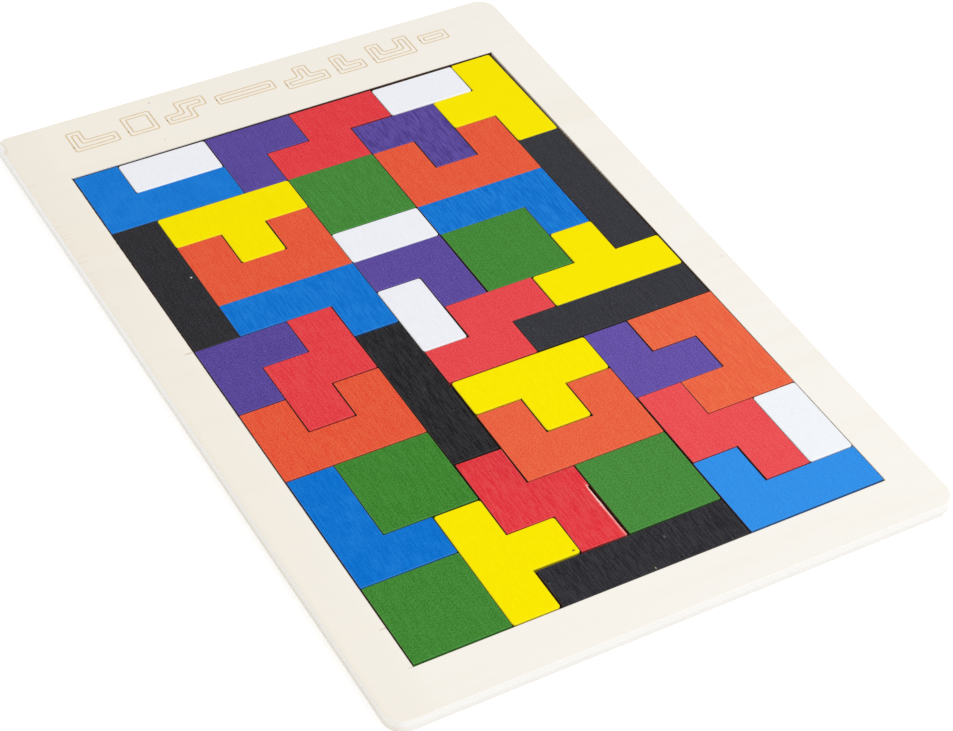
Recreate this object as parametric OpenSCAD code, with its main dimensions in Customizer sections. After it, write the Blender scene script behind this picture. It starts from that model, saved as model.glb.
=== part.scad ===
// Framed packing puzzle. Forty flat wooden blocks, each one to five square cells, fill a field of
// ten by fifteen cells. The field is the opening of a frame board, glued on a base board.
// The origin is the middle of the underside, +Y runs towards the wide head margin and +Z is up.

/* [Field] */
// Side of one square cell
cell = 15; // [12:0.5:20]
// Gap left between neighbouring blocks
block_gap = 0.3; // [0.1:0.05:0.4]
// Play between the outer blocks and the sides of the field
side_play = 0.25; // [0.1:0.05:1]
// Play between the outer blocks and the ends of the field
end_play = 0.5; // [0.25:0.05:1]

/* [Tray] */
// Width of the frame beside the field
side_margin = 14.1; // [11:0.1:25]
// Width of the frame below the field
foot_margin = 15.5; // [11:0.25:30]
// Width of the frame above the field, where the ornament goes
head_margin = 28.25; // [15:0.25:45]
// Thickness of the base board
base_t = 2; // [1.5:0.1:4]
// Thickness of the frame board
frame_t = 2.5; // [1.5:0.1:5]
// Radius of the tray's corners
board_corner = 6; // [3:0.5:10]
// Radius of the corner at the head's left, that has been knocked tighter
knocked_corner = 3.5; // [2:0.5:10]
// Easing along the tray's outer edges
board_ease = 0.3; // [0.1:0.05:0.6]
// How far the knock in the left edge, near the head, reaches in from the edge
knock_reach = 1.2; // [0.5:0.1:2]
// How deep that knock goes at the edge
knock_depth = 0.7; // [0.2:0.1:1.2]
// How long that knock is along the edge
knock_length = 6; // [2:0.5:8]
// From the head's edge to the middle of the knock
knock_place = 4.5; // [4:0.5:12]

/* [Blocks] */
// Thickness of a block without its thick paint
block_t = 2.5; // [1.5:0.1:4]
// Thickness that the thick yellow and white paint adds
paint_t = 0.1; // [0.05:0.05:0.3]
// Easing on the edges of a thinly painted block
thin_ease = 0.25; // [0.05:0.05:0.5]
// Radius in plan at the corners of a thinly painted block
thin_corner = 0.3; // [0.1:0.05:0.6]
// Rounding on the edges of a thickly painted block
thick_ease = 0.5; // [0.2:0.05:0.7]
// Radius in plan at the corners of a thickly painted block
thick_corner = 0.9; // [0.5:0.05:2]

/* [Hidden] */
columns = 10;
rows = 15;
$fn = 48;

field_w = columns * cell + 2 * side_play;
field_d = rows * cell + 2 * end_play;
tray_w = field_w + 2 * side_margin;
tray_d = field_d + foot_margin + head_margin;
field_y = -tray_d / 2 + foot_margin;
// The corners of the tray in turn: foot right, head right, head left, foot left
corner_radii = [board_corner, board_corner, knocked_corner, board_corner];
// The blocks are shifted and turned by shares of this, so that they still clear each other and the frame
loose = min(block_gap, 1.2 * side_play, 0.6 * end_play);

// Paint and wood
pale_wood = [0.94, 0.91, 0.85];
black_paint = [0.15, 0.15, 0.16];
white_paint = [0.93, 0.94, 0.96];
green_paint = [0.24, 0.53, 0.20];
purple_paint = [0.36, 0.28, 0.62];
blue_paint = [0.08, 0.45, 0.82];
red_paint = [0.88, 0.22, 0.28];
yellow_paint = [0.97, 0.90, 0.02];
orange_paint = [0.93, 0.36, 0.22];

// A kind of block is the overlapping bars that cover it: [column, row, cells wide, cells deep]
BAR = [[0, 0, 4, 1]];
DOMINO = [[0, 0, 2, 1]];
SQUARE = [[0, 0, 2, 2]];
CORNER = [[0, 0, 2, 1], [0, 0, 1, 2]];
ELL = [[0, 0, 3, 1], [0, 0, 1, 2]];
ESS = [[0, 0, 2, 1], [1, 0, 1, 2], [1, 1, 2, 1]];
TEE = [[0, 0, 3, 1], [1, 0, 1, 2]];
YOU = [[0, 0, 3, 1], [0, 0, 1, 2], [2, 0, 1, 2]];

// Where each block lies: [middle in cells from the field's lower left corner],
// quarter turns, 1 if it is turned over, [shift in shares of loose], twist in shares of loose
bars = [
    [[0.5, 11], 1, 0, [-0.3, 0.8], 0],
    [[9.5, 10], 1, 0, [-1.7, 0.8], 0.55],
    [[3.5, 6], 1, 0, [-0.5, 0.7], 0.1],
    [[8, 6.5], 0, 0, [-0.9, 1.1], 0],
    [[5, 0.5], 0, 0, [0.3, -1.6], 0.1],
];
dominoes = [
    [[2, 14.5], 0, 0, [-0.9, -0.4], 0],
    [[8, 14.5], 0, 0, [-2.2, -0.9], 0.35],
    [[5, 10.5], 0, 0, [-1.5, 0.3], 0],
    [[4.5, 8], 1, 0, [-1.2, 0.5], 0.1],
    [[9.5, 2], 1, 0, [0.9, 0.7], 0],
];
squares = [
    [[5, 12], 0, 0, [-1.4, 0.1], 0.1],
    [[7, 9], 0, 0, [-0.9, 0.5], 0.2],
    [[2, 4], 0, 0, [-0.5, 0.7], 0.05],
    [[6, 2], 0, 0, [0.3, -0.9], -0.1],
    [[1, 1], 0, 0, [0.2, 0.5], -0.2],
];
corners = [
    [[4, 14], 3, 0, [-1, -0.1], 0.2],
    [[7, 13], 2, 0, [-1.9, -1.3], 0.15],
    [[5, 9], 2, 0, [-1.5, 0.5], -0.05],
    [[1, 8], 3, 0, [-0.2, 1.4], 0.2],
    [[8, 5], 0, 0, [0.4, 0.4], -0.05],
];
ells = [
    [[1.5, 14], 0, 0, [-0.3, 0.2], 0],
    [[7.5, 10], 2, 0, [-1.6, 0], 0.2],
    [[2.5, 9], 2, 0, [-0.9, 1.6], -0.05],
    [[1, 3.5], 3, 1, [0.1, 0.6], 0.05],
    [[8.5, 1], 0, 0, [0.8, 0.4], 0.1],
];
esses = [
    [[5.5, 14], 0, 0, [-1.6, -0.2], 0.25],
    [[2, 7.5], 1, 1, [-0.6, 1.8], 0.3],
    [[5.5, 7], 0, 0, [-0.6, 0.8], 0.25],
    [[4, 2.5], 1, 0, [-0.2, -0.6], -0.7],
    [[8, 2.5], 1, 0, [1.5, 0.7], 0.05],
];
tees = [
    [[9, 13.5], 1, 0, [-2.2, 0], 0.75],
    [[2.5, 12], 2, 0, [-0.9, 0.4], -0.05],
    [[8.5, 8], 0, 0, [-0.6, 0.7], 0.2],
    [[5.5, 5], 2, 0, [1, 0], -0.15],
    [[3, 1.5], 3, 0, [-0.2, -0.2], -0.3],
];
yous = [
    [[7.5, 12], 0, 0, [-1.8, -0.6], 0.2],
    [[2.5, 11], 0, 0, [-0.9, 1], -0.05],
    [[1.5, 6], 0, 0, [-0.3, 1], 0],
    [[9, 4.5], 1, 0, [0.8, 0.9], 0.15],
    [[5.5, 4], 0, 0, [0.7, -0.8], -0.15],
];

function names(stem, places) = [for (i = [1 : len(places)]) str(stem, "_block_", i)];

// How many cells a kind reaches along one axis, 0 across and 1 deep
function extent(kind, axis) = max([for (bar = kind) bar[axis] + bar[axis + 2]]);

// Rectangle from the corner at zero, with rounded corners
module rounded_rect(w, d, r) {
    translate([r, 0]) square([w - 2 * r, d]);
    translate([0, r]) square([w, d - 2 * r]);
    for (x = [r, w - r], y = [r, d - r]) translate([x, y]) circle(r, $fn = 24);
}

// Rectangle from the corner at zero, with its corners cut at 45 degrees
module eased_rect(w, d, c) {
    polygon([[c, 0], [w - c, 0], [w, c], [w, d - c], [w - c, d], [c, d], [0, d - c], [0, c]]);
}

// One bar of a block: its plan cut to its sections across and along, so that every edge is eased
module eased_bar(w, d, t, ease, corner, round_edges) {
    intersection() {
        linear_extrude(t) rounded_rect(w, d, corner);
        rotate([90, 0, 90]) linear_extrude(w)
            if (round_edges) rounded_rect(d, t, ease); else eased_rect(d, t, ease);
        translate([0, d, 0]) rotate([90, 0, 0]) linear_extrude(d)
            if (round_edges) rounded_rect(w, t, ease); else eased_rect(w, t, ease);
    }
}

// A block of one kind, lying at its place on the base board
module block(kind, place, t, ease, corner, round_edges = false) {
    shift = place[3] * loose;
    twist = atan(place[4] * loose / (1.5 * cell));
    translate([
        -columns * cell / 2 + place[0][0] * cell + shift[0],
        field_y + end_play + place[0][1] * cell + shift[1],
        base_t
    ])
    rotate(90 * place[1] + twist)
    mirror([place[2], 0, 0])
    translate([-extent(kind, 0) * cell / 2 + block_gap / 2, -extent(kind, 1) * cell / 2 + block_gap / 2, 0])
    for (bar = kind)
        translate([bar[0] * cell, bar[1] * cell, 0])
            eased_bar(bar[2] * cell - block_gap, bar[3] * cell - block_gap, t, ease, corner, round_edges);
}

module thin_block(kind, place) {
    block(kind, place, block_t, thin_ease, thin_corner);
}

module thick_block(kind, place) {
    block(kind, place, block_t + paint_t, thick_ease, thick_corner, true);
}

module bar_block(place) { color(black_paint) thin_block(BAR, place); }
module domino_block(place) { color(white_paint) thick_block(DOMINO, place); }
module square_block(place) { color(green_paint) thin_block(SQUARE, place); }
module corner_block(place) { color(purple_paint) thin_block(CORNER, place); }
module ell_block(place) { color(blue_paint) thin_block(ELL, place); }
module ess_block(place) { color(red_paint) thin_block(ESS, place); }
module tee_block(place) { color(yellow_paint) thick_block(TEE, place); }
module you_block(place) { color(orange_paint) thin_block(YOU, place); }

// A board of the tray's outline, eased by its own amounts along the lower and the upper edge
module board(t, lower, upper) {
    for (i = [0 : 3]) {
        reach = i % 2 == 0 ? tray_w / 2 : tray_d / 2;
        run = i % 2 == 0 ? tray_d / 2 : tray_w / 2;
        here = corner_radii[i];
        next = corner_radii[(i + 1) % 4];
        rotate(90 * i) {
            translate([reach - here, here - run, 0]) rotate_extrude() board_edge(here, t, lower, upper);
            translate([0, run - next, 0]) rotate([90, 0, 0]) linear_extrude(2 * run - here - next)
                board_edge(reach, t, lower, upper);
        }
    }
}

// Half section of a board, from its middle out to the edge at reach
module board_edge(reach, t, lower, upper) {
    polygon([[0, 0], [reach - lower, 0], [reach, lower], [reach, t - upper], [reach - upper, t], [0, t]]);
}

module tray_base() {
    color(pale_wood) board(base_t, board_ease, 0);
}

module tray_frame() {
    color(pale_wood) translate([0, 0, base_t]) difference() {
        board(frame_t, 0, board_ease);
        translate([-field_w / 2, field_y, -1]) cube([field_w, field_d, frame_t + 2]);
        knock();
    }
}

// The knock, scooped out by a round bar that leans out over the left edge
module knock() {
    slope = atan(knock_depth / knock_reach);
    scoop = (knock_length * knock_length / 4 + knock_depth * knock_depth) / (2 * knock_depth);
    translate([
        -tray_w / 2 + knock_reach - scoop * sin(slope),
        tray_d / 2 - knock_place,
        frame_t + scoop * cos(slope)
    ])
    rotate([0, 90 - slope, 0])
        cylinder(r = scoop, h = 8 * knock_reach, center = true);
}

tray_base();
tray_frame();
for (i = [0 : len(bars) - 1])
    bar_block(bars[i]);
for (i = [0 : len(dominoes) - 1])
    domino_block(dominoes[i]);
for (i = [0 : len(squares) - 1])
    square_block(squares[i]);
for (i = [0 : len(corners) - 1])
    corner_block(corners[i]);
for (i = [0 : len(ells) - 1])
    ell_block(ells[i]);
for (i = [0 : len(esses) - 1])
    ess_block(esses[i]);
for (i = [0 : len(tees) - 1])
    tee_block(tees[i]);
for (i = [0 : len(yous) - 1])
    you_block(yous[i]);
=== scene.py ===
import math
import bmesh
import bpy
from mathutils import Matrix, Vector


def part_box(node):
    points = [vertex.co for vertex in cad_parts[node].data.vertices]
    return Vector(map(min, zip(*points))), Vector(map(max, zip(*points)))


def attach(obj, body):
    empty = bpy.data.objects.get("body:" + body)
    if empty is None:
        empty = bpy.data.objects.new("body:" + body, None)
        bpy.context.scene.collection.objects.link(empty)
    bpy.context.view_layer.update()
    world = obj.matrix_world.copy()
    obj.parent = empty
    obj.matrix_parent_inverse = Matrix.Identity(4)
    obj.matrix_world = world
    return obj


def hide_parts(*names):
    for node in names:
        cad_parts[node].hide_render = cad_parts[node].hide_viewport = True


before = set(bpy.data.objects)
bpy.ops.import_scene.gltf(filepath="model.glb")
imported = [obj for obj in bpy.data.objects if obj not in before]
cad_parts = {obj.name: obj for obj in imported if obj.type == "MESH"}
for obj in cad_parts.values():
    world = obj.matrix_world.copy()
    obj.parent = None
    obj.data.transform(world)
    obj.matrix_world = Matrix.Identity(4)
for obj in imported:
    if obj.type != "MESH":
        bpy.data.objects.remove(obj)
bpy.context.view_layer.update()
mm = 0.001
tolerance = 1e-6  # places nearer than this are one place


# Helpers for working in edit mode

def deselectAll():
    if bpy.context.object and bpy.context.object.mode != "OBJECT":
        bpy.ops.object.mode_set(mode="OBJECT")
    bpy.ops.object.select_all(action="DESELECT")


def pick(piece):
    deselectAll()
    piece.select_set(True)
    bpy.context.view_layer.objects.active = piece


def addBox(name, low, high):
    deselectAll()
    middle = [(a + b) / 2 for a, b in zip(low, high)]
    bpy.ops.mesh.primitive_cube_add(size=1, location=middle)
    piece = bpy.context.object
    piece.name = name
    piece.scale = [b - a for a, b in zip(low, high)]
    bpy.ops.object.transform_apply(location=True, rotation=False, scale=True)
    return piece


def applyModifier(piece, kind, **settings):
    pick(piece)
    modifier = piece.modifiers.new(kind.lower(), kind)
    for setting, value in settings.items():
        setattr(modifier, setting, value)
    bpy.ops.object.modifier_apply(modifier=modifier.name)


def cutAway(piece, other):
    applyModifier(piece, "BOOLEAN", operation="DIFFERENCE", object=other, solver="EXACT")
    bpy.data.objects.remove(other)


def editMesh(piece, kind, action):
    pick(piece)
    bpy.ops.object.mode_set(mode="EDIT")
    bpy.ops.mesh.select_mode(type=kind)
    bpy.ops.mesh.select_all(action=action)


def selectEdges(piece, wanted):
    editMesh(piece, "EDGE", "DESELECT")
    shape = bmesh.from_edit_mesh(piece.data)
    for edge in shape.edges:
        edge.select = wanted(edge)
    bmesh.update_edit_mesh(piece.data)


def roundEdges(piece, wanted, reach, steps):
    selectEdges(piece, wanted)
    bpy.ops.mesh.bevel(offset=reach, segments=steps, affect="EDGES", clamp_overlap=False)
    deselectAll()


def smoothEdges(piece, degrees):
    pick(piece)
    bpy.ops.object.shade_smooth_by_angle(angle=math.radians(degrees))
    applyModifier(piece, "WEIGHTED_NORMAL", keep_sharp=True, weight=80)


def upright(edge):
    a, b = edge.verts
    return abs(a.co.x - b.co.x) < tolerance and abs(a.co.y - b.co.y) < tolerance


def level(edge, height):
    return all(abs(v.co.z - height) < tolerance for v in edge.verts)


def boxOf(piece):
    corners = [v.co for v in piece.data.vertices]
    return [[pickEnd(c[k] for c in corners) for k in range(3)] for pickEnd in (min, max)]


def finishPiece(piece, node, paint):
    piece.data.materials.clear()
    piece.data.materials.append(paint)
    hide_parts(node)
    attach(piece, "root")


# Helpers for building materials

def addNode(tree, kind, **settings):
    node = tree.nodes.new("ShaderNode" + kind)
    for name, value in settings.items():
        setattr(node, name, value)
    return node


def feed(tree, socket, value):
    if isinstance(value, bpy.types.NodeSocket):
        tree.links.new(value, socket)
    else:
        socket.default_value = value


def calc(tree, operation, *values, clamp=False):
    node = addNode(tree, "Math", operation=operation, use_clamp=clamp)
    for socket, value in zip(node.inputs, values):
        feed(tree, socket, value)
    return node.outputs[0]


def fade(tree, value, start, end, low=0.0, high=1.0):
    node = addNode(tree, "MapRange", interpolation_type="SMOOTHSTEP")
    titles = ("Value", "From Min", "From Max", "To Min", "To Max")
    for title, given in zip(titles, (value, start, end, low, high)):
        feed(tree, node.inputs[title], given)
    return node.outputs[0]


def place(tree, vector, scale=(1, 1, 1), shift=(0, 0, 0)):
    node = addNode(tree, "Mapping")
    feed(tree, node.inputs["Vector"], vector)
    node.inputs["Scale"].default_value = scale
    node.inputs["Location"].default_value = shift
    return node.outputs[0]


def noise(tree, vector, scale=1.0, detail=2.0, rough=0.5, warp=0.0):
    node = addNode(tree, "TexNoise")
    feed(tree, node.inputs["Vector"], vector)
    for title, given in (("Scale", scale), ("Detail", detail), ("Roughness", rough), ("Distortion", warp)):
        feed(tree, node.inputs[title], given)
    return node.outputs["Fac"]


def blend(tree, factor, first, second, kind="MIX"):
    node = addNode(tree, "Mix", data_type="RGBA", blend_type=kind)
    feed(tree, node.inputs[0], factor)
    for socket, given in ((node.inputs[6], first), (node.inputs[7], second)):  # the node's two colours
        feed(tree, socket, given if isinstance(given, bpy.types.NodeSocket) else tuple(given) + (1,))
    return node.outputs[2]


def newGroup(name, takes, gives):
    group = bpy.data.node_groups.new(name, "ShaderNodeTree")
    for title, kind, value in takes:
        socket = group.interface.new_socket(title, in_out="INPUT", socket_type="NodeSocket" + kind)
        if value is not None:
            socket.default_value = value
    for title, kind in gives:
        group.interface.new_socket(title, in_out="OUTPUT", socket_type="NodeSocket" + kind)
    return group, group.nodes.new("NodeGroupInput").outputs, group.nodes.new("NodeGroupOutput").inputs


def useGroup(tree, group, **values):
    node = addNode(tree, "Group", node_tree=group)
    for title, value in values.items():
        feed(tree, node.inputs[title], value)
    return node.outputs


def newMaterial(name, roughness, specular):
    material = bpy.data.materials.new(name)
    material.use_nodes = True
    shader = material.node_tree.nodes["Principled BSDF"]
    shader.inputs["Roughness"].default_value = roughness
    shader.inputs["Specular IOR Level"].default_value = specular
    return material, material.node_tree, shader


# Camera

cameraView = {
    "place": (-303.34 * mm, -521.65 * mm, 537.03 * mm),
    "right": (0.872827, -0.486622, 0.037046),
    "down": (-0.306065, -0.604934, -0.735105),
    "focalPixels": 2698.7,
    "imageWidth": 953,
    "sensorWidth": 36,
    "clipStart": 0.01,
}


def addCamera(view):
    lens = bpy.data.cameras.new("photoLens")
    lens.sensor_width = view["sensorWidth"]
    lens.lens = view["focalPixels"] / view["imageWidth"] * lens.sensor_width
    lens.clip_start = view["clipStart"]
    camera = bpy.data.objects.new("photoCamera", lens)
    bpy.context.scene.collection.objects.link(camera)
    right = Vector(view["right"]).normalized()
    up = -Vector(view["down"]).normalized()
    back = right.cross(up)
    camera.matrix_world = Matrix((right, up, back)).transposed().to_4x4()
    camera.location = view["place"]
    bpy.context.scene.camera = camera


addCamera(cameraView)


# Light and floor

studio = {
    "skyLight": 0.8,
    "lamps": {  # power, place, size
        "keyLamp": (5.4, (0.70, -0.66, 0.93), 1.0),
        "fillLamp": (3.0, (-1.2, -0.55, 0.50), 1.0),
    },
    "floorSize": 6,
    "floorWhite": 0.93,
    "floorLift": 0.2,
}


def seenDirectly(tree):  # by the camera, in a reflection or through glass
    path = addNode(tree, "LightPath")
    seen = calc(tree, "MAXIMUM", path.outputs["Is Camera Ray"], path.outputs["Is Glossy Ray"])
    return calc(tree, "MAXIMUM", seen, path.outputs["Is Transmission Ray"])


def addStudio(light):
    world = bpy.data.worlds.new("studioSky")
    bpy.context.scene.world = world
    world.use_nodes = True
    tree = world.node_tree
    sky = tree.nodes["Background"]
    sky.inputs["Color"].default_value = (1, 1, 1, 1)
    strength = addNode(tree, "MapRange")
    for title, given in (("Value", seenDirectly(tree)), ("To Min", light["skyLight"]), ("To Max", 1)):
        feed(tree, strength.inputs[title], given)
    feed(tree, sky.inputs["Strength"], strength.outputs[0])
    for name, (power, spot, size) in light["lamps"].items():
        shine = bpy.data.lights.new(name, "AREA")
        shine.energy = power
        shine.size = size
        lamp = bpy.data.objects.new(name, shine)
        bpy.context.scene.collection.objects.link(lamp)
        lamp.location = spot
        lamp.rotation_euler = Vector(spot).to_track_quat("Z", "Y").to_euler()
    deselectAll()
    bpy.ops.mesh.primitive_plane_add(size=light["floorSize"], location=(0, 0, 0))
    floor = bpy.context.object
    floor.name = "studioFloor"
    paper, tree, shader = newMaterial("whitePaper", 1, 0)
    shader.inputs["Base Color"].default_value = (light["floorWhite"],) * 3 + (1,)
    shader.inputs["Emission Color"].default_value = (1, 1, 1, 1)
    lift = calc(tree, "MULTIPLY", seenDirectly(tree), light["floorLift"])
    feed(tree, shader.inputs["Emission Strength"], lift)
    floor.data.materials.append(paper)


addStudio(studio)
bpy.context.scene.view_settings.view_transform = "Standard"
print("camera and studio are set")


# Effects that several materials share. Places are in millimetres of the tray's own frame

def vectorCalc(tree, operation, first, second=None):
    node = addNode(tree, "VectorMath", operation=operation)
    feed(tree, node.inputs[0], first)
    if second:
        feed(tree, node.inputs[1], second)
    return node.outputs


def parted(tree, vector):
    node = addNode(tree, "SeparateXYZ")
    feed(tree, node.inputs[0], vector)
    return node.outputs


grainGroup, takes, gives = newGroup(
    "woodGrain",
    [("Place", "Vector", None), ("Fibre Width", "Float", 0.32), ("Fibre Length", "Float", 5.0)],
    [("Fibres", "Float"), ("Bands", "Float"), ("Pores", "Float"), ("Mottle", "Float")],
)  # grain runs along the first axis of Place
across = parted(grainGroup, takes["Place"])
thin = addNode(grainGroup, "CombineXYZ")
for axis, wide in enumerate(("Fibre Length", "Fibre Width", "Fibre Width")):
    feed(grainGroup, thin.inputs[axis], calc(grainGroup, "DIVIDE", across[axis], takes[wide]))
fibres = noise(grainGroup, thin.outputs[0], 1.0, 3.0, 0.6, 0.25)
bands = noise(grainGroup, place(grainGroup, takes["Place"], (0.008, 0.11, 0.11)), 1.0, 3.0, 0.55, 0.3)
feed(grainGroup, gives["Fibres"], fibres)
feed(grainGroup, gives["Bands"], bands)
feed(grainGroup, gives["Pores"], fade(grainGroup, fibres, 0.36, 0.24))
feed(grainGroup, gives["Mottle"], noise(grainGroup, takes["Place"], 1.1, 3.0, 0.6))

coatGroup, takes, gives = newGroup(
    "rolledPaint",
    [("Place", "Vector", None), ("Speckle Size", "Float", 0.3), ("Fleck Amount", "Float", 0.0)],
    [(title, "Float") for title in ("Speckle", "Streaks", "Cloud", "Flecks", "Height")],
)  # fine speckle of rolled paint over wood whose grain runs along the second axis
perMillimetre = calc(coatGroup, "DIVIDE", 1.0, takes["Speckle Size"])
speckle = noise(coatGroup, place(coatGroup, takes["Place"], (1, 0.6, 1)), perMillimetre, 1.0, 0.5)
streaks = noise(coatGroup, place(coatGroup, takes["Place"], (3.2, 0.24, 1)), 1.0, 2.0, 0.55, 0.1)
dots = noise(coatGroup, place(coatGroup, takes["Place"], (1, 0.6, 1), (31, 7, 3)), 1.6, 1.0, 0.5)
flecks = calc(coatGroup, "MULTIPLY", fade(coatGroup, dots, 0.76, 0.8), takes["Fleck Amount"])
halves = [calc(coatGroup, "MULTIPLY", value, 0.5) for value in (speckle, streaks)]
feed(coatGroup, gives["Speckle"], fade(coatGroup, speckle, 0.32, 0.68))
feed(coatGroup, gives["Streaks"], fade(coatGroup, streaks, 0.34, 0.66))
feed(coatGroup, gives["Cloud"], noise(coatGroup, takes["Place"], 0.16, 2.0, 0.5))
feed(coatGroup, gives["Flecks"], flecks)
feed(coatGroup, gives["Height"], calc(coatGroup, "ADD", *halves))

spotInputs = [("Place", "Vector", None), ("Middle", "Vector", (0, 0, 0)), ("Half Size", "Vector", (1, 1, 1))]

markGroup, takes, gives = newGroup("smallMark", spotInputs + [("Ragged", "Float", 0.5)], [("Mask", "Float")])
# one mark of its own place and size, with a ragged outline
away = vectorCalc(markGroup, "SUBTRACT", takes["Place"], takes["Middle"])[0]
share = vectorCalc(markGroup, "DIVIDE", away, takes["Half Size"])[0]
reach = vectorCalc(markGroup, "LENGTH", share)["Value"]
uneven = calc(markGroup, "SUBTRACT", noise(markGroup, takes["Place"], 2.6, 2.0), 0.5)
uneven = calc(markGroup, "MULTIPLY", calc(markGroup, "MULTIPLY", uneven, takes["Ragged"]), 2.0)
feed(markGroup, gives["Mask"], fade(markGroup, calc(markGroup, "ADD", reach, uneven), 1.15, 0.75))

rimGroup, takes, gives = newGroup(
    "boxRim", spotInputs + [("Reach", "Float", 0.3)], [("Near", "Float"), ("Distance", "Float")],
)  # nearness to the outline of a rectangle in plan
away = vectorCalc(rimGroup, "SUBTRACT", takes["Place"], takes["Middle"])[0]
size = vectorCalc(rimGroup, "ABSOLUTE", away)[0]
past = parted(rimGroup, vectorCalc(rimGroup, "SUBTRACT", size, takes["Half Size"])[0])
far = calc(rimGroup, "MAXIMUM", past[0], past[1])
feed(rimGroup, gives["Distance"], far)
feed(rimGroup, gives["Near"], fade(rimGroup, calc(rimGroup, "ABSOLUTE", far), takes["Reach"], 0.0))

bumpDepth = 0.03 * mm


def millimetres(tree):
    coordinates = addNode(tree, "TexCoord")
    return place(tree, coordinates.outputs["Object"], (1000, 1000, 1000))


def bumpFrom(tree, shader, height, strength):
    node = addNode(tree, "Bump")
    for title, given in (("Distance", bumpDepth), ("Strength", strength), ("Height", height)):
        feed(tree, node.inputs[title], given)
    feed(tree, shader.inputs["Normal"], node.outputs[0])


# A flat outline made of square cells, from its lower left corner

def addPlan(name, bars, size, corner):
    wide = max(b[0] + b[2] for b in bars)
    deep = max(b[1] + b[3] for b in bars)
    middle = (corner[0] + wide * size / 2, corner[1] + deep * size / 2, corner[2])
    deselectAll()
    bpy.ops.mesh.primitive_grid_add(x_subdivisions=wide, y_subdivisions=deep, size=1, location=middle)
    piece = bpy.context.object
    piece.name = name
    piece.scale = (wide * size, deep * size, 1)
    bpy.ops.object.transform_apply(location=True, rotation=False, scale=True)
    editMesh(piece, "FACE", "DESELECT")
    shape = bmesh.from_edit_mesh(piece.data)
    for face in shape.faces:
        middle = face.calc_center_median()
        column, row = (middle.x - corner[0]) / size, (middle.y - corner[1]) / size
        face.select = not any(b[0] < column < b[0] + b[2] and b[1] < row < b[1] + b[3] for b in bars)
    bmesh.update_edit_mesh(piece.data)
    bpy.ops.mesh.delete(type="FACE")
    bpy.ops.mesh.select_all(action="SELECT")
    bpy.ops.mesh.dissolve_limited(angle_limit=math.radians(0.5))  # joins the cells into one face
    pick(piece)
    return piece


def raiseSolid(piece, height):
    editMesh(piece, "FACE", "SELECT")
    bpy.ops.mesh.extrude_region_move(TRANSFORM_OT_translate={"value": (0, 0, height)})
    bpy.ops.mesh.select_all(action="SELECT")
    bpy.ops.mesh.normals_make_consistent(inside=False)
    deselectAll()


# The tray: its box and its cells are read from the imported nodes, and the dictionary holds the rest

frameLow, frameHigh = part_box("tray_frame")
baseLow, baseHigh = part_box("tray_base")
topZ = frameHigh[2]
plainLow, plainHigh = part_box("domino_block_5")  # stands along the tray and isn't twisted
cell = (plainHigh[1] - plainLow[1]) - (plainHigh[0] - plainLow[0])
gap = cell - (plainHigh[0] - plainLow[0])

tray = {
    "columns": 10,
    "rows": 15,
    "corner": 6 * mm,
    "cornerSteps": 16,
    "knockedCorner": 3.5 * mm,
    "knockedSteps": 12,
    "ease": 0.3 * mm,
    "easeSteps": 3,
    "glueLine": 0.08 * mm,
    "sidePlay": 0.25 * mm,
    "endPlay": 0.5 * mm,
    "footMargin": 15.5 * mm,
    "knockReach": 1.2 * mm,
    "knockDepth": 0.7 * mm,
    "knockLength": 6 * mm,
    "knockPlace": 4.5 * mm,
    "knockSides": 64,
    "smoothAngle": 30,
}
fieldHalf = tray["columns"] / 2 * cell + tray["sidePlay"]
fieldFoot = frameLow[1] + tray["footMargin"]
fieldHead = fieldFoot + tray["rows"] * cell + 2 * tray["endPlay"]


def roundTray(piece, low, high):
    def atCorner(edge, x, y):
        spot = edge.verts[0].co
        return upright(edge) and abs(spot.x - x) < tolerance and abs(spot.y - y) < tolerance
    others = ((low[0], low[1]), (high[0], low[1]), (high[0], high[1]))
    roundEdges(piece, lambda e: atCorner(e, low[0], high[1]), tray["knockedCorner"], tray["knockedSteps"])
    roundEdges(piece, lambda e: any(atCorner(e, x, y) for x, y in others), tray["corner"], tray["cornerSteps"])


# Ornament in the head: small outlined blocks, engraved by laser, with a deeper dot where each line starts

ornament = {
    "cell": 5.2 * mm,
    "space": 3.1 * mm,
    "left": -68.9 * mm,
    "foot": 11.2 * mm,  # above the field
    "lineWidth": 0.5 * mm,
    "inner": 1.45 * mm,  # from the outer line to the inner one
    "depth": 0.14 * mm,
    "dotWidth": 0.62 * mm,
    "dotDepth": 0.26 * mm,
    "dotSides": 12,
    "dotHeight": 0.55,  # in cells, above the foot of its outline
    "cornerRound": 0.85 * mm,
    "cornerSteps": 4,
    "blocks": [  # columns and rows of each outline, as bars of cells
        [(0, 0, 3, 1), (0, 0, 1, 2)],
        [(0, 0, 2, 2)],
        [(0, 0, 2, 1), (1, 0, 1, 2), (1, 1, 2, 1)],
        [(0, 0, 4, 1)],
        [(0, 0, 3, 1), (1, 0, 1, 2)],
        [(0, 0, 2, 1), (0, 0, 1, 2)],
        [(0, 0, 3, 1), (0, 0, 1, 2), (2, 0, 1, 2)],
        [(0, 0, 2, 1)],
    ],
}


def outlineCutter(bars, left, foot, making, inset):
    ring = addPlan("outlineCutter", bars, making["cell"], (left, foot, topZ + making["depth"]))
    editMesh(ring, "FACE", "SELECT")
    if inset:
        bpy.ops.mesh.inset(thickness=inset, depth=0)
        bpy.ops.mesh.select_all(action="INVERT")
        bpy.ops.mesh.delete(type="FACE")
        bpy.ops.mesh.select_all(action="SELECT")
    bpy.ops.mesh.bevel(offset=making["cornerRound"], segments=making["cornerSteps"], affect="VERTICES")
    bpy.ops.mesh.select_all(action="SELECT")
    bpy.ops.mesh.inset(thickness=making["lineWidth"], depth=0)
    bpy.ops.mesh.delete(type="FACE")  # the inside, so that the line is left
    raiseSolid(ring, -2 * making["depth"])
    return ring


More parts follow.
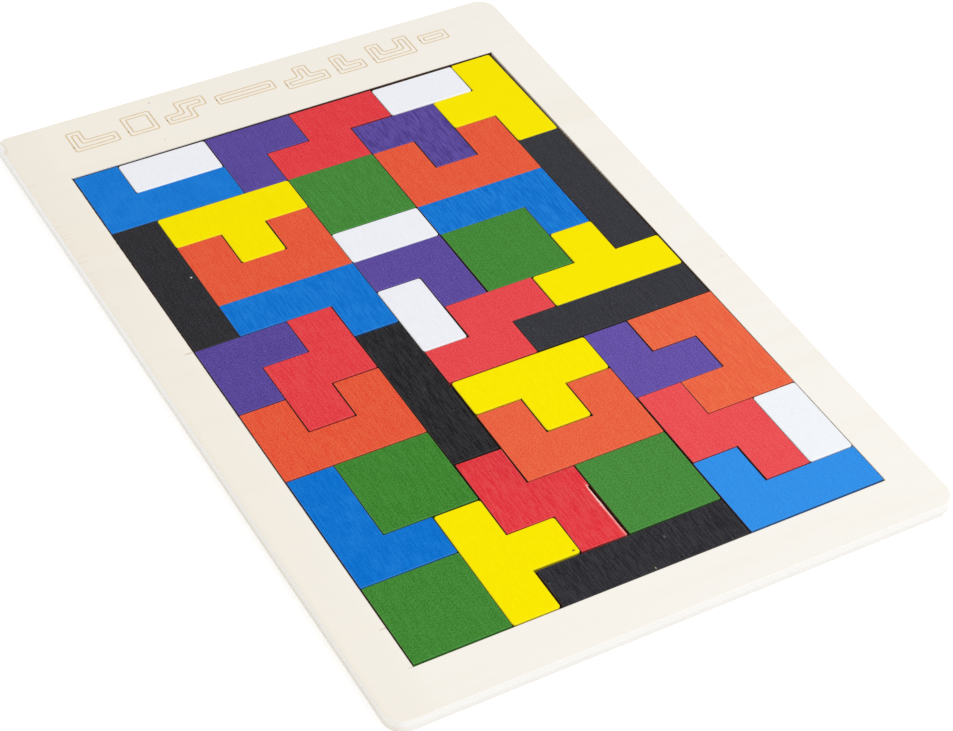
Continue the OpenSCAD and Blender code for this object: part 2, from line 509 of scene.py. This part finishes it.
def engraveOrnament(piece, making):
    left = making["left"]
    starts = []
    for bars in making["blocks"]:
        oneRow = len(bars) == 1 and bars[0][3] == 1  # stands in the middle of the line
        foot = fieldHead + making["foot"] + (0.5 * making["cell"] if oneRow else 0)
        for inset in (0, making["inner"]):
            cutAway(piece, outlineCutter(bars, left, foot, making, inset))
        starts.append((left + making["lineWidth"] / 2, foot + making["dotHeight"] * making["cell"]))
        left += max(b[0] + b[2] for b in bars) * making["cell"] + making["space"]
    for x, y in starts:
        deselectAll()
        bpy.ops.mesh.primitive_cylinder_add(vertices=making["dotSides"], radius=making["dotWidth"] / 2,
                                            depth=2 * making["dotDepth"], location=(x, y, topZ))
        dot = bpy.context.object
        bpy.ops.object.transform_apply(location=True, rotation=False, scale=False)
        cutAway(piece, dot)


def knockCorner(piece, making):  # a dent, scooped out by a round bar that leans out over the left edge
    scoop = (making["knockLength"] ** 2 / 4 + making["knockDepth"] ** 2) / (2 * making["knockDepth"])
    tilt = math.atan(making["knockDepth"] / making["knockReach"])
    spot = (frameLow[0] - scoop * math.sin(tilt) + making["knockReach"],
            frameHigh[1] - making["knockPlace"], topZ + scoop * math.cos(tilt))
    deselectAll()
    bpy.ops.mesh.primitive_cylinder_add(vertices=making["knockSides"], radius=scoop, location=spot,
                                        depth=8 * making["knockReach"], rotation=(0, math.pi / 2 - tilt, 0))
    bar = bpy.context.object
    bpy.ops.object.transform_apply(location=True, rotation=True, scale=True)
    cutAway(piece, bar)


def modelFrame():
    piece = addBox("trayFrame", frameLow, frameHigh)
    roundTray(piece, frameLow, frameHigh)
    roundEdges(piece, lambda e: level(e, frameHigh[2]), tray["ease"], tray["easeSteps"])
    roundEdges(piece, lambda e: level(e, frameLow[2]), tray["glueLine"], 1)
    low = (-fieldHalf, fieldFoot, frameLow[2] - mm)
    high = (fieldHalf, fieldHead, frameHigh[2] + mm)
    cutAway(piece, addBox("fieldCutter", low, high))
    engraveOrnament(piece, ornament)
    knockCorner(piece, tray)
    smoothEdges(piece, tray["smoothAngle"])
    return piece


def modelBase():
    piece = addBox("trayBase", baseLow, baseHigh)
    roundTray(piece, baseLow, baseHigh)
    roundEdges(piece, lambda e: level(e, baseLow[2]), tray["ease"], tray["easeSteps"])
    roundEdges(piece, lambda e: level(e, baseHigh[2]), tray["glueLine"], 1)
    smoothEdges(piece, tray["smoothAngle"])
    return piece


# Blocks: each kind is modelled once and copied to its places

blockKinds = {
    "bar": {"bars": [(0, 0, 4, 1)], "paint": "black_paint",
            "lie": [(1, 0, 0), (1, 0, 0.55), (1, 0, 0.1), (0, 0, 0), (0, 0, 0.1)],
            "paintedLightTones": [0.3, 0.9, 0, 0.9, 0.5], "brushed": [0.1, 0, 0.6, 0.1, 0.6]},
    "domino": {"bars": [(0, 0, 2, 1)], "paint": "white_paint", "thick": True,
               "lie": [(0, 0, 0), (0, 0, 0.35), (0, 0, 0), (1, 0, 0.1), (1, 0, 0)],
               "paintedLightTones": [0, 0.1, 0, 0, 1], "brushed": [0, 0, 0.2, 0.6, 0]},
    "square": {"bars": [(0, 0, 2, 2)], "paint": "green_paint",
               "lie": [(0, 0, 0.1), (0, 0, 0.2), (0, 0, 0.05), (0, 0, -0.1), (0, 0, -0.2)],
               "paintedLightTones": [0.7, 0.5, 0, 1, 0.2], "brushed": [0.2, 0, 0.2, 0, 0.1]},
    "corner": {"bars": [(0, 0, 2, 1), (0, 0, 1, 2)], "paint": "purple_paint",
               "lie": [(3, 0, 0.2), (2, 0, 0.15), (2, 0, -0.05), (3, 0, 0.2), (0, 0, -0.05)],
               "paintedLightTones": [0.2, 0.15, 0.3, 0, 1], "brushed": [0.1, 1, 0, 0, 0]},
    "ell": {"bars": [(0, 0, 3, 1), (0, 0, 1, 2)], "paint": "blue_paint",
            "lie": [(0, 0, 0), (2, 0, 0.2), (2, 0, -0.05), (3, 1, 0.05), (0, 0, 0.1)],
            "paintedLightTones": [0.2, 0.15, 0.1, 0, 1], "brushed": [0.1, 1, 0.6, 0.3, 0]},
    "ess": {"bars": [(0, 0, 2, 1), (1, 0, 1, 2), (1, 1, 2, 1)], "paint": "red_paint",
            "lie": [(0, 0, 0.25), (1, 1, 0.3), (0, 0, 0.25), (1, 0, -0.7), (1, 0, 0.05)],
            "paintedLightTones": [0, 0.2, 0.55, 0, 1], "brushed": [0.1, 0.3, 0, 0.6, 0.1]},
    "tee": {"bars": [(0, 0, 3, 1), (1, 0, 1, 2)], "paint": "yellow_paint", "thick": True,
            "lie": [(1, 0, 0.75), (2, 0, -0.05), (0, 0, 0.2), (2, 0, -0.15), (3, 0, -0.3)],
            "paintedLightTones": [0.5, 0, 0.5, 1, 0.5], "brushed": [0, 0.6, 0, 0.6, 0.2]},
    "you": {"bars": [(0, 0, 3, 1), (0, 0, 1, 2), (2, 0, 1, 2)], "paint": "orange_paint",
            "lie": [(0, 0, 0.2), (0, 0, -0.05), (0, 0, 0), (1, 0, 0.15), (0, 0, -0.15)],
            "paintedLightTones": [0.1, 0.05, 0, 1, 0.6], "brushed": [0.1, 0.1, 0.2, 0.3, 0]},
}
# lie: quarter turns, turned over or not, twist as a share of the gap
# tones, painted light: 1 where the coat is painted palest, a painted light and sheen. brushed: 1 where its
# strokes show most

blockEdges = {
    "thin": {"corner": 0.3 * mm, "cornerSteps": 3, "ease": 0.25 * mm, "easeSteps": 2},
    "thick": {"corner": 0.9 * mm, "cornerSteps": 5, "ease": 0.5 * mm, "easeSteps": 4},
}


def modelBlock(kind, making, edges):
    low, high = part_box(kind + "_block_1")
    tall = high[2] - low[2]
    solid = addPlan(kind + "Block", making["bars"], cell, (0, 0, 0))
    editMesh(solid, "FACE", "SELECT")
    bpy.ops.mesh.inset(thickness=gap / 2, depth=0)
    bpy.ops.mesh.select_all(action="INVERT")
    bpy.ops.mesh.delete(type="FACE")  # what the saw takes
    raiseSolid(solid, tall)
    roundEdges(solid, lambda e: upright(e) and e.is_convex, edges["corner"], edges["cornerSteps"])
    roundEdges(solid, lambda e: level(e, 0) or level(e, tall), edges["ease"], edges["easeSteps"])
    return solid


# The sides are painted as scorched by the laser, and more so where they face left and right, along the grain,
# than on the end grain: that extra darkness, also on the steep part of those eased edges, is painted shade in
# the gaps between the blocks
scorch = {
    "alongGrain": 1.0,
    "endGrain": 0.35,
    "steepEase": 0.9,  # the steep part of an eased edge, and then its flat part
    "flatEase": 0.15,
    "cleanFoot": ["square_block_5"],  # not burnt on its side towards the foot
}
# Limits of a face's normal: how far it points up or down, and for foot how far towards the head
slopes = {"side": 0.05, "steepEase": 0.45, "top": 0.97, "foot": -0.5}
blockSmooth = 50


def markFaces(piece, name, valueOf):
    marks = piece.data.attributes.new(name, "FLOAT", "FACE")
    for face in piece.data.polygons:
        marks.data[face.index].value = valueOf(face)


def easedEdge(face):
    return 1 if slopes["side"] < abs(face.normal.z) < slopes["top"] else 0


# painted dark: laser scorch, and painted shade in the gaps on the sides and eased edges that face left and
# right
def sideBurn(face, cleanFoot):
    across, lean = abs(face.normal.x), abs(face.normal.z)
    if lean >= slopes["top"] or (cleanFoot and face.normal.y < slopes["foot"]):
        return 0
    if easedEdge(face):
        return across * scorch["steepEase" if lean < slopes["steepEase"] else "flatEase"]
    return scorch["endGrain"] + (scorch["alongGrain"] - scorch["endGrain"]) * across


def twistAngle(twist):  # a twist of 1 takes up the whole gap over one and a half cells
    return math.atan(twist * gap / (1.5 * cell))


def layBlock(master, node, lie, tone, brushed):
    turns, over, twist = lie
    pick(master)
    bpy.ops.object.duplicate()
    piece = bpy.context.object
    piece.name = node + "_piece"
    piece.data.name = piece.name
    piece.rotation_euler = (0, math.pi * over, math.pi / 2 * turns + twistAngle(twist))
    bpy.ops.object.transform_apply(location=False, rotation=True, scale=False)
    low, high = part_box(node)
    lowest, highest = boxOf(piece)
    piece.location = [(a + b - c - d) / 2 for a, b, c, d in zip(low, high, lowest, highest)]
    bpy.ops.object.transform_apply(location=True, rotation=False, scale=False)
    # tone: how much paler the coat is painted, a painted light and sheen
    markFaces(piece, "tone", lambda face: tone)
    markFaces(piece, "brushed", lambda face: brushed)
    markFaces(piece, "side", lambda face: sideBurn(face, node in scorch["cleanFoot"]))
    smoothEdges(piece, blockSmooth)
    lowest, highest = boxOf(piece)
    return piece, max(abs(a - b) for a, b in zip(list(low) + list(high), lowest + highest))


# A splinter has come away along the right edge of one red block

splinter = {
    "node": "ess_block_4",
    "foot": -105 * mm,
    "head": -82.9 * mm,
    "edgeAbove": -90 * mm,  # the block's right edge is measured above this
    "edgeHead": -76 * mm,  # and ends here
    "reach": 0.42 * mm,  # from the block's side
    "depth": 1.4 * mm,
    "width": 2 * mm,  # of what is cut with
    "ragged": 0.11 * mm,
    "raggedSeed": 5,
    "bevel": 0.1 * mm,
    "cuts": 14,
    "nearEdge": 0.1 * mm,  # the points this near to the cut's inner side are made ragged
    "pastHead": 0.2 * mm,  # how far past its head an edge still counts as torn
    "wornSlopes": (0.2, 0.95),
}


def tearSplinter(piece, making, twist):
    foot, head, ragged = making["foot"], making["head"], making["ragged"]
    edgeX = max(v.co.x for v in piece.data.vertices if v.co.y > making["edgeAbove"])
    lean = math.tan(twistAngle(twist))
    top = boxOf(piece)[1][2]
    middleY = (foot + head) / 2
    inner = edgeX + (making["edgeHead"] - middleY) * lean - making["reach"]
    low, high = (inner, foot, top - making["depth"]), (inner + making["width"], head, top + mm)
    cutter = addBox("splinterCutter", low, high)
    selectEdges(cutter, lambda e: abs(e.verts[0].co.y - e.verts[1].co.y) > mm)
    bpy.ops.mesh.subdivide(number_cuts=making["cuts"])
    shape = bmesh.from_edit_mesh(cutter.data)
    bpy.ops.mesh.select_mode(type="VERT")
    bpy.ops.mesh.select_all(action="DESELECT")
    for corner in shape.verts:
        inside = foot + mm < corner.co.y < head - mm
        corner.select = inside and corner.co.x < inner + making["nearEdge"]
    bmesh.update_edit_mesh(cutter.data)
    bpy.ops.transform.vertex_random(offset=ragged, seed=making["raggedSeed"])
    bpy.ops.mesh.select_all(action="SELECT")
    bpy.ops.transform.rotate(value=math.atan(lean), orient_axis="Z", center_override=(inner, middleY, top))
    deselectAll()
    cutAway(piece, cutter)

    def torn(spot):
        line = inner - (spot.y - middleY) * lean
        return line - 2 * ragged < spot.x < line + 2 * ragged and spot.y < head + making["pastHead"]

    def worn(face):
        low, high = making["wornSlopes"]
        return 1 if torn(face.center) and low < abs(face.normal.z) < high else 0

    roundEdges(piece, lambda e: level(e, top) and all(torn(v.co) for v in e.verts), making["bevel"], 1)
    markFaces(piece, "worn", worn)


# Wood: pale veneer, grain across the tray

woodLook = {
    "pale": (0.897, 0.872, 0.822),
    "warm": (0.850, 0.790, 0.690),
    "wall": (0.90, 0.89, 0.868),
    "baseWall": (0.865, 0.848, 0.815),
    "wallShade": (0.81, 0.785, 0.74),
    "leftShade": (0.80, 0.765, 0.70),
    "leftTone": (0.80, 0.74, 0.65),
    "beige": (0.862, 0.794, 0.674),
    "tan": (0.66, 0.48, 0.27),
    "burn": (0.07, 0.034, 0.022),
    "scorch": (0.50, 0.36, 0.22),
    "sideBurn": (0.34, 0.24, 0.15),  # the side walls are burnt less than the head's
    "engraved": (0.76, 0.60, 0.38),
    "dot": (0.45, 0.29, 0.15),
    "roughness": 0.62,
    "specular": 0.12,
    "bump": 0.5,
    "warmth": {  # where each pattern sets in and where it is full, and the share of warm wood at both
        "Bands": (0.45, 0.75, 0.0, 0.3),
        "Fibres": (0.3, 0.7, 0.08, 0.0),
        "Mottle": (0.35, 0.65, 0.14, 0.0),
    },
    "poreShare": 0.12,
    # painted shade: the top is painted warmer and darker to the left and to the head, and paler towards the
    # lower right, where the light is brighter
    "paintedShadeSlope": (0.0042, 0.0022),  # less to the right, more to the head
    "paintedShadeSpread": (-0.5, 0.6, 0.0, 0.5),
    "wallSlope": (0.6, 0.2),
    "turnedSlope": (-0.3, -0.7),  # of walls that face left or to the foot
    "lineWidth": 0.14,
}

# Places, widths and depths are in millimetres. Four numbers are two places, or two values of a noise,
# and the shares at them
frameLook = {
    "leftTone": (-73, -81, 0.0, 0.22),
    "leftEdge": (-87.3, -89.0, 0.0, 0.6),
    "jointLean": 0.0385,
    "jointPlace": 65.1,
    "jointStart": (-0.2, 0.3),
    "jointEnd": (26.0, 0.0),
    "jointShare": 0.4,
    "tickScale": (0.12, 2.2, 0.2),
    "tickSpread": (0.5, 0.72),
    "tickReach": (-84.5, -89.2),
    "tickFoot": (20.0, 60.0),
    "tickHead": (128.0, 100.0),
    "tickShare": 0.3,
    "wall": {"tone": "wall", "lines": (2.85, 3.65), "lineShare": 0.35, "leftShade": (60, -80, 0.0, 0.5)},
    "rimReach": 0.3,
    "rimWidth": 0.1,
    "rimShare": 0.28,
    "leftRim": (-110, 90, 0.25, 1.5),
    "headRim": (-70, 70, 0.05, 0.8),
    "rimUneven": (0.3, 0.6, 0.6, 1.0),
    "wallInside": 0.05,
    "middleFoot": (-85, -60),
    "middleHead": (35, 10),
    "middleLift": 0.6,
    "middleDark": 0.7,
    "sideWallStart": (0.65, 1.0),
    "headWallStart": (-60, 20, 0.3, 0.0),
    "headWallSpread": (0.0, 0.12),
    "headClear": 2,  # no engraving is nearer to the head's edge
    "engravedDepth": (0.02, 0.12),
    "dotDepth": (0.16, 0.24),
}

baseLook = {
    "wall": {"tone": "baseWall", "lines": (0.7, 1.35), "lineShare": 0.4, "leftShade": (60, -60, 0.0, 1.0)},
    "footTone": (0.5, 0.2, 0.0, 0.25),
}

# The knocked corner, burnt dashes at the field's left edge and specks in the margins:
# middle, half size, colour, strength
woodMarks = [
    ((-89.35, 130.4, 4.3), (1.6, 3.6, 1.2), "scorch", 0.35),
    ((-89.35, 130.4, 4.3), (1.2, 3.0, 1.2), "wall", 0.9),
    ((-76.5, 16.5, 4.5), (1.5, 0.28, 1), "scorch", 0.5),
    ((-75.8, -104.1, 4.5), (1.6, 0.3, 1), "scorch", 0.4),
    ((-75.7, -119.2, 4.5), (1.2, 0.4, 1), "scorch", 0.25),
    ((87.0, -16.5, 4.5), (0.3, 0.3, 1), "scorch", 0.6),
    ((-37.9, 131.6, 4.5), (0.3, 0.25, 1), "burn", 0.6),
    ((-41.1, 112.0, 4.5), (0.25, 0.2, 1), "burn", 0.5),
]


def product(tree, *values):
    result = values[0]
    for value in values[1:]:
        result = calc(tree, "MULTIPLY", result, value)
    return result


def woodColor(tree, here, shift):
    grain = useGroup(tree, grainGroup, Place=place(tree, here, (1, 1, 1), shift))
    color = woodLook["pale"]
    for pattern, spread in woodLook["warmth"].items():
        color = blend(tree, fade(tree, grain[pattern], *spread), color, woodLook["warm"])
    color = blend(tree, product(tree, grain["Pores"], woodLook["poreShare"]), color, woodLook["scorch"])
    at = parted(tree, here)
    # painted shade: beige grows to the left and to the head
    lessRight, moreHead = woodLook["paintedShadeSlope"]
    beige = calc(tree, "SUBTRACT", product(tree, at[1], moreHead), product(tree, at[0], lessRight))
    color = blend(tree, fade(tree, beige, *woodLook["paintedShadeSpread"]), color, woodLook["beige"])
    return color, grain


def addMark(tree, here, color, middle, half, tint, strength):
    mask = useGroup(tree, markGroup, Place=here, Middle=middle, **{"Half Size": half})["Mask"]
    return blend(tree, product(tree, mask, strength), color, tint)


def plyLines(tree, up, lines):
    mask = None
    for height in lines:
        away = calc(tree, "ABSOLUTE", calc(tree, "SUBTRACT", up, height))
        near = fade(tree, away, woodLook["lineWidth"], 0.0)
        mask = calc(tree, "MAXIMUM", mask, near) if mask else near
    return mask


def wallFacing(tree):
    facing = parted(tree, addNode(tree, "NewGeometry").outputs["Normal"])
    return facing, fade(tree, calc(tree, "ABSOLUTE", facing[2]), *woodLook["wallSlope"])


def wallColor(tree, at, facing, making):  # sanded, greyer, with the lines of the veneers
    lines = product(tree, plyLines(tree, at[2], making["lines"]), making["lineShare"])
    color = blend(tree, lines, woodLook[making["tone"]], woodLook["wallShade"])
    # walls that face left are painted darker, more so towards the foot: painted shade on the side away from the
    # lamps
    left = fade(tree, facing[0], *woodLook["turnedSlope"])
    shaded = product(tree, left, fade(tree, at[1], *making["leftShade"]))
    return blend(tree, shaded, color, woodLook["leftShade"])


def faceMarks(tree, here, at, color, look):
    color = blend(tree, fade(tree, at[0], *look["leftTone"]), color, woodLook["leftTone"])
    # one joint of the veneer runs across the tray, warmer on its far side
    pastJoint = calc(tree, "MULTIPLY_ADD", at[0], look["jointLean"], -look["jointPlace"])
    pastJoint = calc(tree, "ADD", at[1], pastJoint)
    warmer = product(tree, fade(tree, pastJoint, *look["jointStart"]), fade(tree, pastJoint, *look["jointEnd"]))
    color = blend(tree, product(tree, warmer, look["jointShare"]), color, woodLook["beige"])
    # brown ticks that run in from the left edge, where the saw scorched the fibres
    ticks = fade(tree, noise(tree, place(tree, here, look["tickScale"]), 1.0, 3.0, 0.6), *look["tickSpread"])
    strip = fade(tree, at[0], *look["tickReach"])
    stretch = product(tree, fade(tree, at[1], *look["tickFoot"]), fade(tree, at[1], *look["tickHead"]))
    ticks = product(tree, ticks, strip, stretch)
    color = blend(tree, product(tree, ticks, look["tickShare"]), color, woodLook["scorch"])
    color = blend(tree, fade(tree, at[0], *look["leftEdge"]), color, woodLook["warm"])
    for middle, half, tint, strength in woodMarks:
        color = addMark(tree, here, color, middle, half, woodLook[tint], strength)
    return color


def fieldBurn(tree, here, at, facing, wall, color, look):
    middle = (0, (fieldFoot + fieldHead) / 2 / mm, 0)
    half = (fieldHalf / mm, (fieldHead - fieldFoot) / 2 / mm, 1)
    headLine = fieldHead / mm - look["rimWidth"]
    rim = useGroup(tree, rimGroup, Place=here, Middle=middle, **{"Half Size": half, "Reach": look["rimReach"]})
    # a thin line over the field's edge: it grows along the head to the right and along the left wall
    # to the head, and the other two have little
    atLeft = calc(tree, "LESS_THAN", at[0], look["rimWidth"] - half[0])
    atHead = calc(tree, "GREATER_THAN", at[1], headLine)
    rimColor = blend(tree, calc(tree, "MAXIMUM", atLeft, atHead), woodLook["tan"], woodLook["burn"])
    share = product(tree, calc(tree, "LESS_THAN", at[1], headLine), look["rimShare"])
    leftShare = product(tree, atLeft, fade(tree, at[1], *look["leftRim"]))
    headShare = product(tree, atHead, fade(tree, at[0], *look["headRim"]))
    share = calc(tree, "MAXIMUM", share, calc(tree, "MAXIMUM", leftShare, headShare))
    rimBurn = calc(tree, "MULTIPLY", rim["Near"], share, clamp=True)
    rimBurn = product(tree, rimBurn, fade(tree, noise(tree, here, 0.8, 3.0), *look["rimUneven"]))
    color = blend(tree, rimBurn, color, rimColor)
    # the side walls are burnt only lower down, apart from their middle, and the head wall nearly up to its edge
    inside = product(tree, wall, calc(tree, "LESS_THAN", rim["Distance"], look["wallInside"]))
    headWall = fade(tree, facing[1], *woodLook["turnedSlope"])
    depth = calc(tree, "SUBTRACT", topZ / mm, at[2])
    middleWall = product(tree, fade(tree, at[1], *look["middleHead"]), fade(tree, at[1], *look["middleFoot"]))
    lifted = calc(tree, "MULTIPLY_ADD", middleWall, look["middleLift"], depth)
    sideBelow = fade(tree, lifted, *look["sideWallStart"])
    belowStart = calc(tree, "SUBTRACT", depth, fade(tree, at[0], *look["headWallStart"]))
    headBelow = product(tree, headWall, fade(tree, belowStart, *look["headWallSpread"]))
    darker = calc(tree, "MAXIMUM", headWall, product(tree, middleWall, look["middleDark"]))
    wallBurn = blend(tree, darker, woodLook["sideBurn"], woodLook["burn"])
    below = calc(tree, "MAXIMUM", headBelow, sideBelow)
    return blend(tree, product(tree, inside, below), color, wallBurn)


def engravedColor(tree, here, at, color, look):
    middle = (0, (fieldHead + frameHigh[1]) / 2 / mm, 0)
    half = (fieldHalf / mm, (frameHigh[1] - fieldHead) / 2 / mm - look["headClear"], 1)
    head = useGroup(tree, rimGroup, Place=here, Middle=middle, **{"Half Size": half})
    inHead = calc(tree, "LESS_THAN", head["Distance"], 0.0)
    sunk = product(tree, calc(tree, "SUBTRACT", topZ / mm, at[2]), inHead)
    color = blend(tree, fade(tree, sunk, *look["engravedDepth"]), color, woodLook["engraved"])
    return blend(tree, fade(tree, sunk, *look["dotDepth"]), color, woodLook["dot"])


def startWood(name, shift):
    material, tree, shader = newMaterial(name, woodLook["roughness"], woodLook["specular"])
    here = millimetres(tree)
    color, grain = woodColor(tree, here, shift)
    height = calc(tree, "ADD", grain["Fibres"], product(tree, grain["Mottle"], 0.5))
    bumpFrom(tree, shader, height, woodLook["bump"])
    return material, tree, shader, here, color


def frameWood():
    look = frameLook
    material, tree, shader, here, color = startWood("paleWoodFrame", (11, 4, 0))
    at = parted(tree, here)
    facing, wall = wallFacing(tree)
    color = faceMarks(tree, here, at, color, look)
    color = blend(tree, wall, color, wallColor(tree, at, facing, look["wall"]))
    color = fieldBurn(tree, here, at, facing, wall, color, look)
    color = engravedColor(tree, here, at, color, look)
    feed(tree, shader.inputs["Base Color"], color)
    return material


def baseWood():
    look = baseLook
    material, tree, shader, here, color = startWood("paleWoodBase", (3, 57, 0))
    at = parted(tree, here)
    facing, wall = wallFacing(tree)
    side = wallColor(tree, at, facing, look["wall"])
    side = blend(tree, fade(tree, at[2], *look["footTone"]), side, woodLook["tan"])
    feed(tree, shader.inputs["Base Color"], blend(tree, wall, color, side))
    return material


# Paints

# palest: the coat where it is painted lighter, a painted light and sheen (see the tones of the blocks)
paintLooks = {
    # edge: a lighter colour on the eased edges, thinner paint and a painted highlight; rim: its share
    "black_paint": {"name": "blackPaint", "low": (0.00457, 0.00394, 0.005), "palest": (0.0209, 0.0223, 0.0295),
                    "spread": (0.0352, 0.0343, 0.036), "edge": (0.07, 0.07, 0.075),
                    "streaks": 0.2, "flecks": 0.2, "rim": 0.35, "roughness": 0.55, "specular": 0.03},
    "white_paint": {"name": "whitePaint", "low": (0.802, 0.81, 0.863), "palest": (0.809, 0.833, 0.87),
                    "spread": (0.058, 0.058, 0.05), "edge": (0.93, 0.94, 0.96),
                    "streaks": 0.2, "flecks": 0, "rim": 0.8, "roughness": 0.45, "specular": 0.2},
    "green_paint": {"name": "greenPaint", "low": (0.025, 0.147, 0.00962), "palest": (0.0375, 0.165, 0.0246),
                    "spread": (0.0439, 0.153, 0.0354), "edge": (0.14, 0.42, 0.12),
                    "streaks": 0.2, "flecks": 0.12, "rim": 0.3, "roughness": 0.6, "specular": 0.05},
    "purple_paint": {"name": "purplePaint", "low": (0.0545, 0.0304, 0.202), "palest": (0.0881, 0.0498, 0.275),
                     "spread": (0.0739, 0.0568, 0.182), "edge": (0.24, 0.18, 0.56),
                     "streaks": 0.2, "flecks": 0.15, "rim": 0.25, "roughness": 0.6, "specular": 0.05},
    "blue_paint": {"name": "bluePaint", "low": (0, 0.126, 0.537), "palest": (0.0269, 0.227, 0.706),
                   "spread": (0.01, 0.078, 0.124), "edge": (0.10, 0.36, 0.84),
                   "streaks": 0.25, "flecks": 0, "rim": 0.25, "roughness": 0.7, "specular": 0.01},
    "red_paint": {"name": "redPaint", "low": (0.693, 0.00894, 0.0288), "palest": (0.753, 0.0405, 0.0583),
                  "spread": (0.0756, 0.0714, 0.0521), "edge": (0.90, 0.18, 0.18), "worn": (0.93, 0.42, 0.40),
                  "streaks": 0.2, "flecks": 0, "rim": 0.2, "roughness": 0.6, "specular": 0.05},
    "yellow_paint": {"name": "yellowPaint", "low": (0.892, 0.74, 0), "palest": (0.908, 0.762, 0),
                     "spread": (0.039, 0.056, 0), "edge": (0.98, 0.88, 0.02),
                     "streaks": 0.3, "flecks": 0, "rim": 0.5, "roughness": 0.6, "specular": 0.01},
    "orange_paint": {"name": "orangePaint", "low": (0.725, 0.0409, 0.0178), "palest": (0.772, 0.0828, 0.0349),
                     "spread": (0.0715, 0.106, 0.0424), "edge": (0.92, 0.26, 0.15),
                     "streaks": 0.2, "flecks": 0, "rim": 0.25, "roughness": 0.6, "specular": 0.05},
}  # spread: what the speckle adds at most

coatLook = {  # what all the paints share
    "brushedStreaks": 0.4,
    "cloud": (0.4, 0.75, 0.0, 0.2),
    "stroke": (0.6, 0.1, 0.0, 0.4),
    "fleck": (0.75, 0.75, 0.75),
    "bump": 0.6,
}

# Specks and chips on single blocks: paint, middle, half size, colour, strength
# The first two lie along the splinter
paintMarks = [
    ("red_paint", (-0.98, -89.6, 4.5), (0.42, 7.4, 1), (0.94, 0.56, 0.50), 0.95),
    ("red_paint", (-1.02, -99.0, 4.5), (0.33, 8.0, 1), (0.92, 0.33, 0.32), 0.75),
    ("yellow_paint", (-16.9, -102.6, 4.6), (0.46, 0.36, 1), (0.09, 0.06, 0.02), 0.85),
    ("black_paint", (8.0, -109.4, 4.5), (0.35, 0.6, 1), (0.14, 0.15, 0.17), 0.5),
    ("black_paint", (-0.3, -118.3, 4.5), (0.25, 0.4, 1), (0.42, 0.34, 0.22), 0.8),
    ("black_paint", (-61.9, 47.0, 4.5), (0.3, 0.35, 1), (0.62, 0.62, 0.62), 0.9),
]


def faceMark(tree, name):
    return addNode(tree, "Attribute", attribute_name=name).outputs["Fac"]


def paintCoat(slot, look):
    material, tree, shader = newMaterial(look["name"], look["roughness"], look["specular"])
    here = millimetres(tree)
    coat = useGroup(tree, coatGroup, Place=here, **{"Fleck Amount": look["flecks"]})
    brushed = faceMark(tree, "brushed")
    streakShare = calc(tree, "MULTIPLY_ADD", brushed, coatLook["brushedStreaks"], look["streaks"])
    share = calc(tree, "SUBTRACT", coat["Streaks"], coat["Speckle"])
    share = calc(tree, "MULTIPLY_ADD", share, streakShare, coat["Speckle"])
    # painted light and sheen: blocks with a higher tone are painted paler
    color = blend(tree, faceMark(tree, "tone"), look["low"], look["palest"])
    color = blend(tree, fade(tree, coat["Cloud"], *coatLook["cloud"]), color, look["palest"])
    color = blend(tree, share, color, look["spread"], "ADD")
    stroke = product(tree, brushed, fade(tree, coat["Streaks"], *coatLook["stroke"]))
    color = blend(tree, stroke, color, look["low"])
    color = blend(tree, coat["Flecks"], color, coatLook["fleck"])
    # painted highlight: the eased edges are painted lighter, as where they catch the light, with thinner paint
    # there
    color = blend(tree, product(tree, faceMark(tree, "rim"), look["rim"]), color, look["edge"])
    for paint, middle, half, tint, strength in paintMarks:
        if paint == slot:
            color = addMark(tree, here, color, middle, half, tint, strength)
    # the sides are painted dark: laser scorch, with painted shade in the gaps between the blocks
    color = blend(tree, faceMark(tree, "side"), color, woodLook["burn"])
    if "worn" in look:
        color = blend(tree, faceMark(tree, "worn"), color, look["worn"])
    feed(tree, shader.inputs["Base Color"], color)
    bumpFrom(tree, shader, coat["Height"], coatLook["bump"])
    return material


paints = {slot: paintCoat(slot, look) for slot, look in paintLooks.items()}
print("materials are set")

framePiece = modelFrame()
finishPiece(framePiece, "tray_frame", frameWood())
basePiece = modelBase()
finishPiece(basePiece, "tray_base", baseWood())
print("tray is modelled,", len(framePiece.data.polygons), "faces in its frame")

largestStep = 0
for kind, making in blockKinds.items():
    master = modelBlock(kind, making, blockEdges["thick" if making.get("thick") else "thin"])
    # the eased edges are marked so that the paints colour them lighter: thinner paint, and a painted highlight
    markFaces(master, "rim", easedEdge)
    for number, (lie, tone, brushed) in enumerate(zip(making["lie"], making["paintedLightTones"], making["brushed"]), 1):
        node = "%s_block_%d" % (kind, number)
        piece, step = layBlock(master, node, lie, tone, brushed)
        largestStep = max(largestStep, step)
        if node == splinter["node"]:
            tearSplinter(piece, splinter, lie[2])
        finishPiece(piece, node, paints[making["paint"]])
    bpy.data.objects.remove(master)
print("blocks are laid, largest difference from their solids %.4f mm" % (largestStep / mm))

deselectAll()
